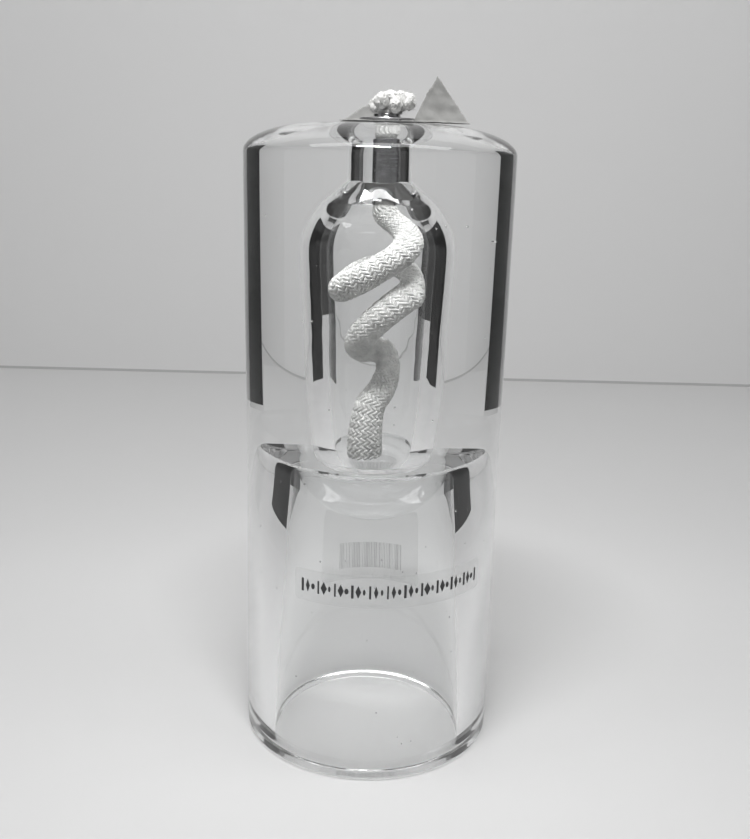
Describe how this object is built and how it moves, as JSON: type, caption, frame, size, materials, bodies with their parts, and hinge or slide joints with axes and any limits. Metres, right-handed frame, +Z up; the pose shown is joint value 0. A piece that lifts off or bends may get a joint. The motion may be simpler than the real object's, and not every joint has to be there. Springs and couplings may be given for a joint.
{
  "type": "glass oil lamp",
  "caption": "Heavy solid-glass cylinder oil lamp with a bottle-shaped oil reservoir, a coiled fibre wick in a flanged steel holder, and an open hollow foot.",
  "frame": {"origin": "centre of the ring that the lamp stands on, at table level", "axes": "+Z up along the glass cylinder's axis; -Y is the front, where the film label is"},
  "size_m": [0.065, 0.0658, 0.1677],
  "materials": {
    "clear_glass": "fire-polished clear glass with a few small seeds",
    "label_film": "thin satin clear film with dark printed marks",
    "label_paper": "matt sticker paper with printed bars",
    "wick_fibre": "white braided glass-fibre cord",
    "holder_steel": "thin polished steel tube",
    "collar_paper": "thin torn grey paper, matt"
  },
  "bodies": {
    "root": {"glass_body": "clear_glass", "front_label": "label_film", "back_label": "label_paper", "wick_coil": "wick_fibre"},
    "holder": {"wick_holder": "holder_steel", "paper_collar": "collar_paper"},
    "wick": {"wick_tuft": "wick_fibre"}
  },
  "joints": [
    {"name": "wick_holder_lift", "type": "slide", "parent": "root", "child": "holder", "axis": [0, 0, 1], "range_m": [0, 0.02]},
    {"name": "wick_feed", "type": "slide", "parent": "holder", "child": "wick", "axis": [0, 0, 1], "range_m": [0, 0.006]}
  ]
}
